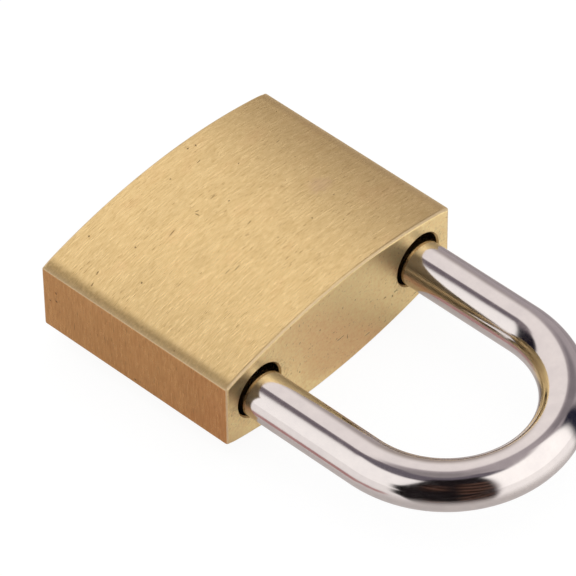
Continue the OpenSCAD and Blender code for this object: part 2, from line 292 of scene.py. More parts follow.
def case_shell():
    """The outside of the case: two broad faces of long strips, and the wall with rounded edges that
    joins them."""
    lower, upper = case_outline()
    count = len(lower)
    ring = lower + upper[::-1]
    verts, faces = [], []
    for point, normal, radius in ring:
        front = edge_profile(point, normal, radius)
        rows = front + [(x, y, -z) for x, y, z in front[::-1]]
        verts += [(x, y, z + MID_Z) for x, y, z in rows]
    depth = 2 * (FILLET_STEPS + 1)
    for i in range(len(ring)):
        a, b = i * depth, (i + 1) % len(ring) * depth
        faces += [(a + j, a + j + 1, b + j + 1, b + j) for j in range(depth - 1)]
    for k in range(count - 1):
        a, b = k * depth, (k + 1) * depth
        c, d = (2 * count - 2 - k) * depth, (2 * count - 1 - k) * depth
        faces.append((a, b, c, d))
        faces.append(tuple(v + depth - 1 for v in (d, c, b, a)))
    case = mesh_object("case_brass", verts, faces)
    for polygon in case.data.polygons:
        x, y, z = (abs(v) for v in polygon.normal)
        polygon.material_index = 0 if z > BROAD_FACE else 1 if x > y else 2
    return case


def case_bores():
    """Everything that is drilled into the case, in the order of the pieces that fill it."""
    out = 1.0
    cuts = []
    short_floor = box_mm("latch_short_side")[0].y - NOTCH_GAP - TIP_LAND - FOOT_ROOM
    for x, floor in ((LEG_X, box_mm("shackle_spring")[0].y), (-LEG_X, short_floor)):
        cuts.append(drill(Y, (x, 0, HOLE_Z), [
            (floor, HOLE_R), (TOP_Y - HOLE_RIM, HOLE_R), (TOP_Y + out, HOLE_R + HOLE_RIM + out)]))
    head_r, head_end = box_mm("plug")[1].x + END_GAP, BOTTOM_Y + HEAD_BORE_DEPTH
    bore_r, bore_end = PLUG_R + RUN_GAP, box_mm("cam")[0].y
    cam_end = box_mm("latch_long_side")[1].y - END_GAP
    cuts.append(drill(Y, (0, 0, MID_Z), [
        (BOTTOM_Y - out, head_r), (head_end, head_r), (head_end, bore_r), (bore_end, bore_r),
        (bore_end, CAM_ROOM_R), (cam_end, CAM_ROOM_R)]))
    latch, latch_half = centre_of("latch_long_side")
    latch_r = latch_half.y + RUN_GAP
    cuts.append(drill(X, (0, latch.y, MID_Z), [(-HALF_W - out, latch_r), (LEG_X, latch_r)]))
    seat_x = -HALF_W + CHAMBER_PLUG_L
    seat_r = CHAMBER_PLUG_R + PRESS_GAP
    for i in PIN_STACKS:
        pin, pin_half = centre_of(f"driver_pin_{i}")
        pin_r = pin_half.y + RUN_GAP
        cuts.append(drill(X, (0, pin.y, MID_Z), [
            (-HALF_W - out, seat_r), (seat_x, seat_r), (seat_x, pin_r), (0, pin_r)]))
    for name in ("shackle_pin", "plug_pin"):
        pin, pin_half = centre_of(name)
        pin_r, pin_end = pin_half.x + PRESS_GAP, box_mm(name)[1].z + END_GAP
        cuts.append(drill(Z, (pin.x, pin.y, 0), [(-out, pin_r), (pin_end, pin_r)]))
    return cuts


def make_case(outside, drilled):
    """The case, with one material for each pair of its sides and one for its bores."""
    case = case_shell()
    for material in outside:
        case.data.materials.append(material)
    cut(case, case_bores(), drilled)
    weigh_normals(case, smooth_angle=25)
    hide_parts("body")
    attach(case, "case")


# ---------------------------------------------------------------- shackle

TIP_BEVEL = 0.6
# Room that the long leg's waist has above the retaining pin while the shackle is closed
WAIST_ROOM = 0.2
BOW_STEPS = 120
WIRE_SIDES = 112
# How far the notches' cutter reaches in front of the wire's middle and behind it
NOTCH_REACH = 6


def make_shackle(material):
    """The U of wire, swept as rings of given place, direction and radius, with its notches."""
    up, front = Vector((0, 1, 0)), Vector((0, 0, 1))
    pin, pin_half = centre_of("shackle_pin")
    lift = travel_of("shackle_lift")
    waist_r = LEG_X - pin.x - pin_half.x - END_GAP
    waist_low = pin.y - pin_half.y - lift - END_GAP / 2
    waist_high = pin.y + pin_half.y + WAIST_ROOM
    latch, latch_half = centre_of("latch_short_side")
    short_foot = latch.y - latch_half.y - NOTCH_GAP - TIP_LAND
    right = Vector((LEG_X, 0, LEG_Z))
    left = Vector((-LEG_X, 0, LEG_Z))
    rings = [(right + up * y, up, r) for y, r in (
        (LONG_FOOT_Y, WIRE_R - TIP_BEVEL), (LONG_FOOT_Y + TIP_BEVEL, WIRE_R), (waist_low, WIRE_R),
        (waist_low, waist_r), (waist_high, waist_r), (waist_high, WIRE_R), (TOP_Y, WIRE_R))]
    for k in range(BOW_STEPS + 1):
        a = math.pi * k / BOW_STEPS
        at = Vector((LEG_X * math.cos(a), BOW_Y + LEG_X * math.sin(a), LEG_Z))
        rings.append((at, Vector((-math.sin(a), math.cos(a), 0)), WIRE_R))
    rings += [(left + up * y, -up, r) for y, r in (
        (TOP_Y, WIRE_R), (short_foot + TIP_BEVEL, WIRE_R), (short_foot, WIRE_R - TIP_BEVEL))]
    turns = [2 * math.pi * j / WIRE_SIDES for j in range(WIRE_SIDES)]
    shackle = mesh_object("shackle_chrome", *lathe([
        [at + radius * (math.cos(a) * front.cross(along) + math.sin(a) * front) for a in turns]
        for at, along, radius in rings]))
    shackle.data.materials.append(material)
    bite = travel_of("latch_long_slide") - NOSE_BACK - (HOLE_R - WIRE_R)
    notch_x = LEG_X - WIRE_R + bite + NOTCH_GAP
    cut(shackle, [block((-notch_x, latch.y - latch_half.y - NOTCH_GAP, LEG_Z - NOTCH_REACH),
                        (notch_x, latch.y + latch_half.y + NOTCH_GAP, LEG_Z + NOTCH_REACH))])
    shade(shackle)
    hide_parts("shackle")
    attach(shackle, "shackle")


# ---------------------------------------------------------------- springs

PIN_WIRE_R = 0.11
PIN_SPRING_TURNS = 8
SHACKLE_WIRE_R = 0.275
SHACKLE_SPRING_TURNS = 4
# Turns that lie closed at each end of a spring, and their rise in wire radii for each turn
CLOSED_TURNS = 0.75
CLOSED_PITCH = 2.1
TURN_STEPS = 24
SPRING_WIRE_SIDES = 12


def make_spring(node, axis, line, wire_r, turns, material):
    """A coil spring of round wire with closed ends, along axis. line is a point on its middle
    line."""
    low, high = box_mm(node)
    across = [a for a in (X, Y, Z) if a != axis]
    coil_r = max(high[a] - low[a] for a in across) / 2 - wire_r
    foot, length = low[axis] + wire_r, high[axis] - low[axis] - 2 * wire_r
    closed_rise = CLOSED_PITCH * wire_r * CLOSED_TURNS
    open_turns = turns - 2 * CLOSED_TURNS
    rings = []
    for k in range(turns * TURN_STEPS + 1):
        turn = k / TURN_STEPS
        closed = min(turn, CLOSED_TURNS) + max(0.0, turn - turns + CLOSED_TURNS)
        rise = closed_rise / CLOSED_TURNS * closed
        rise += (length - 2 * closed_rise) * min(1.0, max(0.0, turn - CLOSED_TURNS) / open_turns)
        a = 2 * math.pi * turn
        ring = []
        for j in range(SPRING_WIRE_SIDES):
            b = 2 * math.pi * j / SPRING_WIRE_SIDES
            reach = coil_r + wire_r * math.cos(b)
            point = Vector(line)
            point[axis] = foot + rise + wire_r * math.sin(b)
            point[across[0]] += reach * math.cos(a)
            point[across[1]] += reach * math.sin(a)
            ring.append(point)
        rings.append(ring)
    spring = mesh_object(node + "_wire", *lathe(rings), smooth_angle=50)
    spring.data.materials.append(material)
    start, end = Vector(line), Vector(line)
    start[axis], end[axis] = foot + closed_rise, foot + length - closed_rise
    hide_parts(node)
    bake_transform(spring)


# ---------------------------------------------------------------- materials

def srgb(code):
    """A #RRGGBB colour as linear RGBA."""
    parts = [int(code[i:i + 2], 16) / 255 for i in (1, 3, 5)]
    return (*(p / 12.92 if p <= 0.04045 else ((p + 0.055) / 1.055) ** 2.4 for p in parts), 1.0)


def add(tree, kind, inputs=None, out=0, **settings):
    """One node: settings are its properties, and inputs its socket values or the sockets that feed
    them. Gives back the output socket that out names."""
    node = tree.nodes.new(kind)
    for key, value in settings.items():
        setattr(node, key, value)
    for key, value in (inputs or {}).items():
        if isinstance(value, bpy.types.NodeSocket):
            tree.links.new(value, node.inputs[key])
        else:
            node.inputs[key].default_value = value
    return node.outputs[out] if node.outputs else node


def new_material(name):
    """A material with an empty node tree."""
    material = bpy.data.materials.new(name)
    material.use_nodes = True
    material.node_tree.nodes.clear()
    return material, material.node_tree


def surface_mm(tree):
    """The place on a piece's surface, in the piece's own millimetres."""
    return add(tree, "ShaderNodeVectorMath", {
        0: add(tree, "ShaderNodeTexCoord", out="Object"), "Scale": 1 / MM}, operation="SCALE")


def cells(*sizes):
    """The scale of a pattern whose cells are this many millimetres long on each axis."""
    return [1 / size for size in sizes]


# Distances in near_marks are in half sizes of a mark, so its clean rim would be at 1. FAR_OFF is
# further than any mark reaches. The fray pushes the rim out or in, and it fades over RIM
FAR_OFF = 9.0
FRAY = 1.6
RIM = (1.35, 2.0)


def near_marks(tree, place, marks, fray):
    """A mask of single marks: each has its middle, its half size along x, y and z, and its turn
    about z in degrees. fray is a noise that roughens their rims."""
    nearest = FAR_OFF
    for centre, half, turn in marks:
        local = add(tree, "ShaderNodeMapping", {
            "Vector": place, "Location": centre, "Scale": half,
            "Rotation": (0, 0, math.radians(turn))}, vector_type="TEXTURE")
        reach = add(tree, "ShaderNodeVectorMath", {0: local}, out="Value", operation="LENGTH")
        nearest = add(tree, "ShaderNodeMath", {0: nearest, 1: reach}, operation="MINIMUM")
    frayed = add(tree, "ShaderNodeMath", {0: fray, 1: FRAY, 2: nearest}, operation="MULTIPLY_ADD")
    return add(tree, "ShaderNodeMapRange", {
        "Value": frayed, "From Min": RIM[0], "From Max": RIM[1], "To Min": 1.0, "To Max": 0.0},
        interpolation_type="SMOOTHSTEP")


# What old age adds to every brass surface, along with painted shade and a painted highlight: its
# colour, and the roughness that goes with it
OLD_POLISH = "#8A673A"
TARNISH = "#CF9C72"
# The painted shade round the shackle's holes; real staining and that shade share one roughness
HOLE_SHADE, STAIN_AND_SHADE_ROUGH = "#7D5A36", 0.45
PIT_DIRT, PIT_ROUGH = "#6E4C2A", 0.7
# Painted shade along the broad faces' rolled edge beside the long leg, for the dim roof it reflects
RIM_SHADE, RIM_ROUGH = "#8A6E40", 0.55
# Rubbed edges, paler partly as a painted highlight of edges catching the light
RUBBED_BRASS_AND_HIGHLIGHT, RUBBED_ROUGH = "#D6BB96", 0.5
# Where the band of painted shade on a broad face starts and where it is full, as distances from
# the middle line towards the long leg. The coarse scratches fray it by up to 1 mm, and it widens
# by 0.02 mm for each mm nearer to the keyway end
SHADE_BAND = (19.0, 20.3)
SHADE_LEAN = -0.02
# A cell of the pits' pattern has a pit where its random value is over PIT_CHOICE, and pits and
# nicks take these shares of the dirt's colour
PIT_CHOICE = 0.74
PIT_SHARE, NICK_SHARE = 0.75, 0.6
# How much finer than the coarse scratches the fine and the deep ones are
FINE, DEEP = 2.4, 1.6


def ground_brass(name, dark, light, stroke, gloss, tangent=None, marks=(), stain_and_shade_patches=(),
                 stain_and_shade_colour=HOLE_SHADE, stain_and_shade_depth=(0.16, 0.46), rim_shade=0.0):
    """Bare solid brass, ground with an abrasive. stroke is the size of one scratch in millimetres
    on each axis, gloss the roughness on and between the scratches, and tangent the axis that the
    shine is stretched round. marks are nicks that hold dirt. stain_and_shade_patches are patches
    of the colour stain_and_shade_colour, from weak to strong as stain_and_shade_depth says: real
    staining on the broad faces, painted shade round the shackle's holes on the ends. rim_shade is
    how strongly painted shade darkens the broad faces along their rolled edge beside the long leg."""
    material, tree = new_material(name)
    place = surface_mm(tree)

    # Scratches in two sizes, so that they don't look like one repeated pattern
    coarse = add(tree, "ShaderNodeTexNoise", {
        "Vector": add(tree, "ShaderNodeMapping", {"Vector": place, "Scale": cells(*stroke)}),
        "Scale": 1.0, "Detail": 2.0, "Roughness": 0.55})
    fine = add(tree, "ShaderNodeTexNoise", {
        "Vector": add(tree, "ShaderNodeMapping", {
            "Vector": place, "Scale": cells(*[s / FINE for s in stroke]), "Location": (7, 3, 5)}),
        "Scale": 1.0, "Detail": 2.0, "Roughness": 0.6})
    grain = add(tree, "ShaderNodeMix", {0: 0.5, 2: coarse, 3: fine}, data_type="FLOAT")
    tone = add(tree, "ShaderNodeMapRange", {"Value": grain, "From Min": 0.3, "From Max": 0.64})
    base = add(tree, "ShaderNodeMix", {0: tone, 6: srgb(dark), 7: srgb(light)}, out=2,
               data_type="RGBA")
    rough = add(tree, "ShaderNodeMapRange", {
        "Value": grain, "From Min": 0.3, "From Max": 0.7, "To Min": gloss[1], "To Max": gloss[0]})

    # Slow clouds, 4 to 6 mm across, where the abrasive pressed more or less
    clouds = add(tree, "ShaderNodeTexNoise", {
        "Vector": add(tree, "ShaderNodeMapping", {
            "Vector": place, "Scale": cells(6, 4, 5), "Location": (4, 4, 4)}),
        "Scale": 1.0, "Detail": 3.0, "Roughness": 0.55})
    pressed = add(tree, "ShaderNodeMapRange", {
        "Value": clouds, "From Min": 0.3, "From Max": 0.7, "To Min": 0.965, "To Max": 1.035})
    colour = add(tree, "ShaderNodeVectorMath", {0: base, "Scale": pressed}, operation="SCALE")

    # Deeper scratches, dark with old polish, in patches about 2 mm across
    deep = add(tree, "ShaderNodeTexNoise", {
        "Vector": add(tree, "ShaderNodeMapping", {
            "Vector": place, "Scale": cells(*[s / DEEP for s in stroke]), "Location": (3, 8, 6)}),
        "Scale": 1.0, "Detail": 1.0})
    patch = add(tree, "ShaderNodeTexNoise", {
        "Vector": add(tree, "ShaderNodeMapping", {
            "Vector": place, "Scale": cells(2, 2, 2), "Location": (8, 2, 9)}),
        "Scale": 1.0, "Detail": 2.0})
    groove = add(tree, "ShaderNodeMapRange", {"Value": deep, "From Min": 0.38, "From Max": 0.3})
    worn = add(tree, "ShaderNodeMapRange", {
        "Value": patch, "From Min": 0.44, "From Max": 0.6, "To Max": 0.5})
    scratched = add(tree, "ShaderNodeMath", {0: groove, 1: worn}, operation="MULTIPLY")
    colour = add(tree, "ShaderNodeMix", {0: scratched, 6: colour, 7: srgb(OLD_POLISH)}, out=2,
                 data_type="RGBA")

    # A faint warm tarnish where the clouds are densest
    warm = add(tree, "ShaderNodeMapRange", {
        "Value": clouds, "From Min": 0.56, "From Max": 0.8, "To Max": 0.2})
    colour = add(tree, "ShaderNodeMix", {0: warm, 6: colour, 7: srgb(TARNISH)}, out=2,
                 data_type="RGBA")

    # Dust that frays the rims of staining, of nicks, and of the painted shade round the holes and
    # along the edges, 0.4 mm across
    dust = add(tree, "ShaderNodeTexNoise", {
        "Vector": add(tree, "ShaderNodeMapping", {
            "Vector": place, "Scale": cells(0.4, 0.4, 0.4), "Location": (1, 9, 2)}),
        "Scale": 1.0, "Detail": 3.0, "Roughness": 0.6})
    # Real staining on the broad faces, and painted shade round the shackle's holes on the ends
    if stain_and_shade_patches:
        uneven = add(tree, "ShaderNodeMapRange", {
            "Value": patch, "From Min": 0.3, "From Max": 0.62,
            "To Min": stain_and_shade_depth[0], "To Max": stain_and_shade_depth[1]})
        stained_and_shaded = add(tree, "ShaderNodeMath", {
            0: near_marks(tree, place, stain_and_shade_patches, dust), 1: uneven}, operation="MULTIPLY")
        colour = add(tree, "ShaderNodeMix", {0: stained_and_shaded, 6: colour, 7: srgb(stain_and_shade_colour)}, out=2,
                     data_type="RGBA")
        rough = add(tree, "ShaderNodeMix", {0: stained_and_shaded, 2: rough, 3: STAIN_AND_SHADE_ROUGH},
                    data_type="FLOAT")

    # Pits 0.1 to 0.3 mm wide, one in a few cells of 2 mm, and the single nicks
    shift = add(tree, "ShaderNodeVectorMath", {0: dust, "Scale": 0.3}, operation="SCALE")
    spot = add(tree, "ShaderNodeMapping", {"Vector": place, "Scale": cells(2, 2, 2)})
    cell = add(tree, "ShaderNodeTexVoronoi", {
        "Vector": add(tree, "ShaderNodeVectorMath", {0: spot, 1: shift}, operation="ADD"),
        "Scale": 1.0}, out="Distance")
    chosen = add(tree, "ShaderNodeMath", {0: cell.node.outputs["Color"], 1: PIT_CHOICE},
                 operation="GREATER_THAN")
    core = add(tree, "ShaderNodeMapRange", {
        "Value": cell, "From Min": 0.02, "From Max": 0.075, "To Min": PIT_SHARE, "To Max": 0.0})
    pits = add(tree, "ShaderNodeMath", {0: core, 1: chosen}, operation="MULTIPLY")
    nicks = add(tree, "ShaderNodeMath", {
        0: near_marks(tree, place, marks, dust), 1: NICK_SHARE}, operation="MULTIPLY")
    pits = add(tree, "ShaderNodeMath", {0: pits, 1: nicks}, operation="MAXIMUM")
    colour = add(tree, "ShaderNodeMix", {0: pits, 6: colour, 7: srgb(PIT_DIRT)}, out=2,
                 data_type="RGBA")
    rough = add(tree, "ShaderNodeMix", {0: pits, 2: rough, 3: PIT_ROUGH}, data_type="FLOAT")

    if rim_shade:
        # Painted shade, mottled, on the last 1.5 mm of a broad face beside the long leg, where its
        # rolled edge reflects the dim roof
        parts = add(tree, "ShaderNodeSeparateXYZ", {0: place})
        lean = add(tree, "ShaderNodeMath", {
            0: parts.node.outputs["Y"], 1: SHADE_LEAN, 2: parts}, operation="MULTIPLY_ADD")
        frayed = add(tree, "ShaderNodeMath", {0: coarse, 1: lean}, operation="ADD")
        band = add(tree, "ShaderNodeMapRange", {
            "Value": frayed, "From Min": SHADE_BAND[0], "From Max": SHADE_BAND[1],
            "To Max": rim_shade},
            interpolation_type="SMOOTHSTEP")
        mottle = add(tree, "ShaderNodeMapRange", {
            "Value": dust, "From Min": 0.35, "From Max": 0.6, "To Min": 0.55})
        rim_shade_mask = add(tree, "ShaderNodeMath", {0: band, 1: mottle}, operation="MULTIPLY")
        colour = add(tree, "ShaderNodeMix", {0: rim_shade_mask, 6: colour, 7: srgb(RIM_SHADE)}, out=2,
                     data_type="RGBA")
        rough = add(tree, "ShaderNodeMix", {0: rim_shade_mask, 2: rough, 3: RIM_ROUGH},
                    data_type="FLOAT")

    # Edges rubbed pale by hands and pockets, and partly a painted highlight of edges catching
    # the light: where the surface faces none of the three axes. Their cross scratches scatter
    # light almost like a matt surface
    facing = add(tree, "ShaderNodeTexCoord", out="Normal")
    squares = add(tree, "ShaderNodeVectorMath", {0: facing, 1: facing}, operation="MULTIPLY")
    flatness = add(tree, "ShaderNodeVectorMath", {0: squares, 1: squares}, out="Value",
                   operation="DOT_PRODUCT")
    rubbed_and_lit_edge = add(tree, "ShaderNodeMapRange", {
        "Value": flatness, "From Min": 0.78, "From Max": 0.6, "To Max": 0.8},
        interpolation_type="SMOOTHSTEP")
    patchy = add(tree, "ShaderNodeMapRange", {
        "Value": dust, "From Min": 0.35, "From Max": 0.55, "To Min": 0.6})
    pale = add(tree, "ShaderNodeMath", {0: rubbed_and_lit_edge, 1: patchy}, operation="MULTIPLY")
    colour = add(tree, "ShaderNodeMix", {0: pale, 6: colour, 7: srgb(RUBBED_BRASS_AND_HIGHLIGHT)}, out=2,
                 data_type="RGBA")
    rough = add(tree, "ShaderNodeMix", {0: rubbed_and_lit_edge, 2: rough, 3: RUBBED_ROUGH},
                data_type="FLOAT")
    metal = add(tree, "ShaderNodeMapRange", {
        "Value": rubbed_and_lit_edge, "From Max": 0.8, "To Min": 1.0, "To Max": 0.4})

    # Scratches 0.01 mm deep, and pits 0.05 mm deep
    relief = add(tree, "ShaderNodeBump", {"Height": grain, "Distance": mm(0.012), "Strength": 0.8})
    relief = add(tree, "ShaderNodeBump", {
        "Height": pits, "Distance": mm(-0.05), "Strength": 1.0, "Normal": relief})
    surface = {"Base Color": colour, "Metallic": metal, "Roughness": rough, "Normal": relief}
    if tangent:
        surface["Anisotropic"] = 0.6
        surface["Tangent"] = add(tree, "ShaderNodeTangent", direction_type="RADIAL", axis=tangent)
    add(tree, "ShaderNodeOutputMaterial", {
        "Surface": add(tree, "ShaderNodeBsdfPrincipled", surface)})
    return material


def chrome_plate():
    """Bright chromium plate on drawn steel wire: a mirror that is a little warm and grey, with a
    haze in patches 2 mm across and handling marks finer than the eye can part. The drawing leaves
    waves 4 to 5 mm long, so that the reflections don't run dead straight."""
    material, tree = new_material("bright_chrome_plate")
    place = surface_mm(tree)
    haze = add(tree, "ShaderNodeTexNoise", {
        "Vector": add(tree, "ShaderNodeMapping", {"Vector": place, "Scale": cells(2, 2, 2)}),
        "Scale": 1.0, "Detail": 3.0, "Roughness": 0.6})
    # Marks of 0.1 mm, drawn 0.4 mm wide so that they show
    handled = add(tree, "ShaderNodeTexNoise", {
        "Vector": add(tree, "ShaderNodeMapping", {
            "Vector": place, "Scale": cells(0.4, 0.4, 0.4), "Location": (2, 5, 1)}),
        "Scale": 1.0, "Detail": 2.0, "Roughness": 0.6})
    drawn = add(tree, "ShaderNodeTexNoise", {
        "Vector": add(tree, "ShaderNodeMapping", {
            "Vector": place, "Scale": cells(4.5, 4.5, 4.5), "Location": (6, 1, 3)}),
        "Scale": 1.0, "Detail": 1.0, "Roughness": 0.4})
    tone = add(tree, "ShaderNodeMapRange", {"Value": haze, "From Min": 0.35, "From Max": 0.7})
    colour = add(tree, "ShaderNodeMix", {0: tone, 6: srgb("#D5CFCD"), 7: srgb("#DDD7D4")}, out=2,
                 data_type="RGBA")
    rough = add(tree, "ShaderNodeMapRange", {
        "Value": haze, "From Min": 0.3, "From Max": 0.75, "To Min": 0.08, "To Max": 0.15})
    relief = add(tree, "ShaderNodeBump", {"Height": drawn, "Distance": mm(0.02), "Strength": 0.5})
    relief = add(tree, "ShaderNodeBump", {
        "Height": handled, "Distance": mm(0.0012), "Strength": 0.6, "Normal": relief})
    add(tree, "ShaderNodeOutputMaterial", {"Surface": add(tree, "ShaderNodeBsdfPrincipled", {
        "Base Color": colour, "Metallic": 1.0, "Roughness": rough, "Normal": relief})})
    return material


def worked_metal(name, dark, light, line, gloss):
    """A turned, ground or drawn metal of the lock's works: lines of the given size in millimetres
    on each axis, and oil stains about 2.5 mm across."""
    material, tree = new_material(name)
    place = surface_mm(tree)
    lines = add(tree, "ShaderNodeTexNoise", {
        "Vector": add(tree, "ShaderNodeMapping", {"Vector": place, "Scale": cells(*line)}),
        "Scale": 1.0, "Detail": 2.0})
    oil = add(tree, "ShaderNodeTexNoise", {
        "Vector": add(tree, "ShaderNodeMapping", {
            "Vector": place, "Scale": cells(2.5, 2.5, 2.5), "Location": (5, 2, 8)}),
        "Scale": 1.0, "Detail": 3.0, "Roughness": 0.6})
    both = add(tree, "ShaderNodeMix", {0: 0.45, 2: lines, 3: oil}, data_type="FLOAT")
    tone = add(tree, "ShaderNodeMapRange", {"Value": both, "From Min": 0.35, "From Max": 0.65})
    colour = add(tree, "ShaderNodeMix", {0: tone, 6: srgb(dark), 7: srgb(light)}, out=2,
                 data_type="RGBA")
    rough = add(tree, "ShaderNodeMapRange", {
        "Value": both, "From Min": 0.3, "From Max": 0.7, "To Min": gloss[1], "To Max": gloss[0]})
    relief = add(tree, "ShaderNodeBump", {"Height": lines, "Distance": mm(0.006), "Strength": 0.7})
    add(tree, "ShaderNodeOutputMaterial", {"Surface": add(tree, "ShaderNodeBsdfPrincipled", {
        "Base Color": colour, "Metallic": 1.0, "Roughness": rough, "Normal": relief})})
    return material


def dress(node, material):
    """Gives a CAD node's own object its material."""
    slots = frame["nodes"][node].data.materials
    slots.clear()
    slots.append(material)


# ---------------------------------------------------------------- studio

def ramp(value, low, high):
    """A smooth step from 0 at low to 1 at high."""
    t = min(1.0, max(0.0, (value - low) / (high - low)))
    return t * t * (3 - 2 * t)


# Elevation of the foot of a panel that stands on the floor: below the tent's lowest edge
PANEL_FOOT = -30


def lit_panel(azimuth, elevation, light, left, right, low, high, soft):
    """A patch of light from the azimuth left to right and between two elevations: how much of it
    is seen in one direction, and its light. soft is half the width of its edges."""
    turn = (azimuth - left + 180) % 360 - 180
    width = (right - left) % 360
    share = ramp(turn, -soft, soft) * (1 - ramp(turn, width - soft, width + soft))
    share *= (ramp(elevation, low - soft, low + soft)
              * (1 - ramp(elevation, high - soft, high + soft)))
    return share, Vector(light)


def studio_light(azimuth, elevation):
    """What the inside of a light tent shows in one direction, in degrees: white panels on both
    sides of the tent's opening, a paler one behind, and dim gaps between them and above."""
    # The upright edges of the panels lean with the height, as the tent narrows to its top
    rise = max(0.0, elevation) / 30
    left_edge = 140 + 7 * rise ** 2
    right_edge = 326 - 3 * rise ** 2
    opening_edge = 76 + 5 * rise ** 2 / 4
    rear_end = 298 - 9 * ramp(elevation, 44, 58)
    opening_low = 3 - 14 * ramp(azimuth, 8, 20)
    opening_top = 19 + 50 * ramp(azimuth, 8, 30)

    # The rear panel is in shade low down on its left, and the grey cloth beside it high up
    rear = Vector((0.44, 0.38, 0.35)).lerp(
        Vector((1.06, 1.00, 0.99)), ramp(elevation + 0.8 * (azimuth - 215), 10, 45))
    grey = Vector((0.48, 0.43, 0.45)).lerp(
        Vector((0.27, 0.24, 0.26)), (1 - ramp(azimuth, 194, 206)) * ramp(elevation, 20, 36))
    gap = Vector((0.015, 0.012, 0.020)).lerp(
        Vector((0.23, 0.19, 0.21)), ramp(elevation, 34, 56))
    # Warm things in the dark room beyond the opening, in slanting stripes
    stripe = math.sin(math.radians(elevation * 14 + azimuth * 6)) ** 2
    brown = Vector((0.14, 0.075, 0.055)) * stripe
    roof = Vector((0.50, 0.45, 0.47)).lerp(Vector((0.33, 0.30, 0.31)), ramp(elevation, 72, 86))

    # Later panels hang in front of earlier ones
    panels = (
        (grey, 172, 212, PANEL_FOOT, 56, 4),
        (rear, 208, rear_end, PANEL_FOOT, 72, 4),
        (gap, rear_end, right_edge + 3, PANEL_FOOT, 74, 2),
        # The dim gap above the opening and its two panels, and the dark one behind the left panel
        ((0.17, 0.15, 0.18), 300, 112, 57, 79, 4),
        ((0.015, 0.015, 0.035), left_edge - 4, left_edge + 17, PANEL_FOOT, 46, 4),
        # The left and the right white panel
        ((1.45, 1.42, 1.40), 78, left_edge, PANEL_FOOT, 61, 4),
        ((1.24, 1.21, 1.20), right_edge, 390, PANEL_FOOT, 57, 3),
        # The opening between them
        ((0.012, 0.009, 0.010), 7, opening_edge, opening_low, opening_top, 3),
        (brown, 27, 43, 22, 42, 6),
        (brown, 52, 76, 4, 46, 5))
    light = roof
    for panel in panels:
        share, colour = lit_panel(azimuth, elevation, *panel)
        light = light.lerp(colour, share)
    return light


def make_tent():
    """The light tent as a dome that only reflections see."""
    radius = 900
    lowest, highest = -3, 90
    rings, spokes = 94, 288
    verts, faces, lights = [], [], []
    for i in range(rings):
        e = math.radians(lowest + (highest - lowest) * i / (rings - 1))
        for j in range(spokes):
            a = 2 * math.pi * j / spokes
            verts.append((radius * math.cos(e) * math.cos(a), radius * math.cos(e) * math.sin(a),
                          radius * math.sin(e)))
            lights.append(studio_light(math.degrees(a), math.degrees(e)))
    for i in range(0, (rings - 1) * spokes, spokes):
        for j in range(spokes):
            k = (j + 1) % spokes
            faces.append((i + j, i + k, i + spokes + k, i + spokes + j))
    tent = mesh_object("tent", verts, faces, smooth_angle=180)
    tone = tent.data.attributes.new("light", "FLOAT_COLOR", "POINT")
    for spot, light in zip(tone.data, lights):
        spot.color = (*light, 1.0)
    material, tree = new_material("tent_cloth")
    shown = add(tree, "ShaderNodeAttribute", out="Color", attribute_name="light")
    add(tree, "ShaderNodeOutputMaterial", {
        "Surface": add(tree, "ShaderNodeEmission", {"Color": shown})})
    material.cycles.emission_sampling = "NONE"
    tent.data.materials.append(material)
    tent.visible_camera = False
    tent.visible_diffuse = False
    tent.visible_shadow = False
    tent.visible_transmission = False


# Where a painted warm glow lies on the floor, for light that the brass throws onto it, beside the
# long leg and inside the loop, and the middle and half the width of the band of slants at which
# it shows
FLOOR_GLOWS = (((28, 2, 0), (11, 17, 4), 0), ((-3, 2, 0), (6, 11, 4), 0))
GLOW_SLANT, GLOW_SPREAD = 0.38, 0.09


